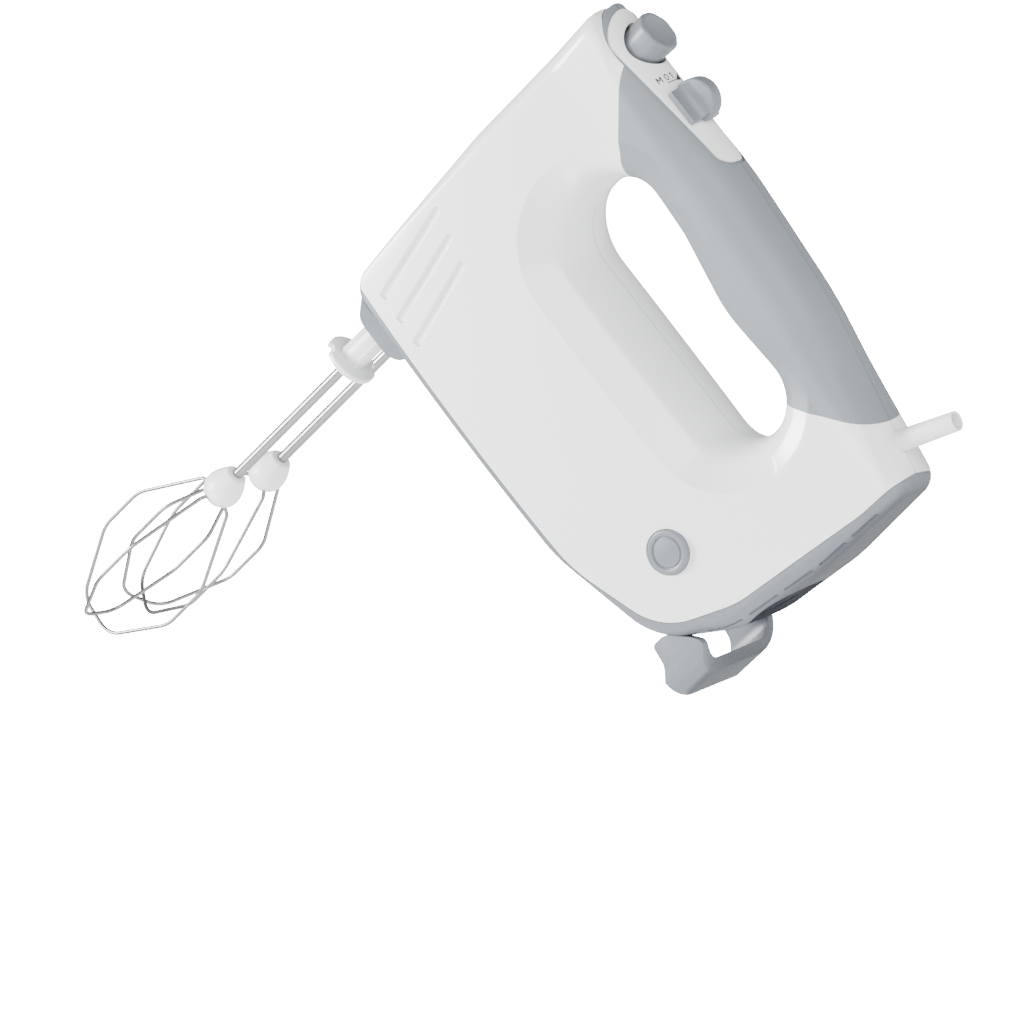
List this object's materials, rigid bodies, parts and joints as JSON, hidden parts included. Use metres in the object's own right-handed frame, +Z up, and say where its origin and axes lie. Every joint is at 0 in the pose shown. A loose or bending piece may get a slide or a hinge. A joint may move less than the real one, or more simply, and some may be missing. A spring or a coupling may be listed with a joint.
{
  "type": "hand mixer",
  "caption": "Electric hand mixer standing on its heel: white two-part housing with grey grip, counter-rotating wire whisks, eject button and speed control.",
  "frame": {"origin": "middle of the footprint on the surface that the heel stands on", "axes": "+X from the whisks towards the handle, +Y towards the mixer's right-hand side, +Z up from the heel to the nose"},
  "size_m": [0.3272, 0.0709, 0.1987],
  "materials": {
    "shell_white": "satin-gloss moulded white plastic",
    "belt_grey": "satin grey plastic",
    "grip_grey": "soft-touch grey elastomer",
    "dark_plastic": "dark grey plastic",
    "steel": "drawn and polished stainless steel",
    "laminations": "laminated electrical steel",
    "copper": "enamelled copper wire and commutator bars",
    "brass": "brushed brass",
    "carbon": "pressed carbon",
    "board_green": "glass-fibre circuit board",
    "nylon": "natural nylon"
  },
  "bodies": {
    "housing": {"shell_left": "shell_white", "shell_right": "shell_white", "grip_left": "grip_grey", "grip_right": "grip_grey", "base_tray": "belt_grey", "socket_boss": "belt_grey", "heel_bracket": "belt_grey", "control_plate": "shell_white", "plate_bezel": "grip_grey", "cord_sleeve": "shell_white", "case_screws": "steel", "gear_frame": "nylon", "rear_bridge": "dark_plastic", "motor_bearings": "steel", "stator_core": "laminations", "field_coils": "copper", "brush_holders": "brass", "carbon_brushes": "carbon", "switch_body": "dark_plastic", "speed_board": "board_green", "knob_pin": "steel", "door_pins": "steel", "eject_spring": "steel", "release_spring": "steel"},
    "rotor": {"motor_shaft": "steel", "armature_core": "laminations", "armature_windings": "copper", "commutator": "copper", "worm": "steel", "cooling_fan": "nylon", "rear_drive_dog": "dark_plastic"},
    "drive_left": {"drive_spindle_left": "steel", "worm_wheel_left": "nylon"},
    "drive_right": {"drive_spindle_right": "steel", "worm_wheel_right": "nylon"},
    "whisk_left": {"whisk_rod_left": "steel", "whisk_collar_left": "shell_white", "whisk_hub_left": "shell_white", "loop_outer_left": "steel", "loop_inner_left": "steel"},
    "whisk_right": {"whisk_rod_right": "steel", "whisk_collar_right": "shell_white", "whisk_hub_right": "shell_white", "loop_outer_right": "steel", "loop_inner_right": "steel"},
    "ejector": {"eject_button": "belt_grey", "ejector_fork": "dark_plastic"},
    "speed_control": {"speed_knob": "belt_grey"},
    "release": {"release_button": "belt_grey", "release_latch": "dark_plastic"},
    "door_left": {"port_door_left": "dark_plastic"},
    "door_right": {"port_door_right": "dark_plastic"}
  },
  "joints": [
    {"name": "motor_spin", "type": "hinge", "parent": "housing", "child": "rotor", "pos_m": [0.05715, 0, 0.17], "axis": [0, 0, -1], "continuous": true},
    {"name": "drive_left_spin", "type": "hinge", "parent": "housing", "child": "drive_left", "pos_m": [0.01615, -0.0145, 0.17], "axis": [1, 0, 0], "continuous": true},
    {"name": "drive_right_spin", "type": "hinge", "parent": "housing", "child": "drive_right", "pos_m": [0.01615, 0.0145, 0.17], "axis": [1, 0, 0], "continuous": true},
    {"name": "eject_press", "type": "slide", "parent": "housing", "child": "ejector", "axis": [-1, 0, 0], "range_m": [0, 0.007], "stiffness_N_per_m": 400, "springref_m": -0.003, "deforming": ["eject_spring"]},
    {"name": "whisk_left_release", "type": "slide", "parent": "drive_left", "child": "whisk_left", "axis": [-1, 0, 0], "range_m": [0, 0.007]},
    {"name": "whisk_right_release", "type": "slide", "parent": "drive_right", "child": "whisk_right", "axis": [-1, 0, 0], "range_m": [0, 0.007]},
    {"name": "speed_select", "type": "hinge", "parent": "housing", "child": "speed_control", "pos_m": [0.13915, 0, 0.17], "axis": [0, 0, 1], "range_deg": [-8, 20]},
    {"name": "release_press", "type": "slide", "parent": "housing", "child": "release", "axis": [0, 1, 0], "range_m": [0, 0.002], "stiffness_N_per_m": 600, "springref_m": -0.001, "deforming": ["release_spring"]},
    {"name": "door_left_swing", "type": "hinge", "parent": "housing", "child": "door_left", "pos_m": [0.06215, -0.0162, 0.017], "axis": [1, 0, 0], "range_deg": [0, 75], "stiffness_Nm_per_rad": 0.003, "springref_deg": -17.19},
    {"name": "door_right_swing", "type": "hinge", "parent": "housing", "child": "door_right", "pos_m": [0.06215, 0.0162, 0.017], "axis": [-1, 0, 0], "range_deg": [0, 75], "stiffness_Nm_per_rad": 0.003, "springref_deg": -17.19}
  ],
  "couplings": [
    {"joint": "drive_left_spin", "follows": "motor_spin", "ratio": 0.045455},
    {"joint": "drive_right_spin", "follows": "motor_spin", "ratio": -0.045455},
    {"joint": "whisk_left_release", "follows": "eject_press", "ratio": 1},
    {"joint": "whisk_right_release", "follows": "eject_press", "ratio": 1}
  ]
}
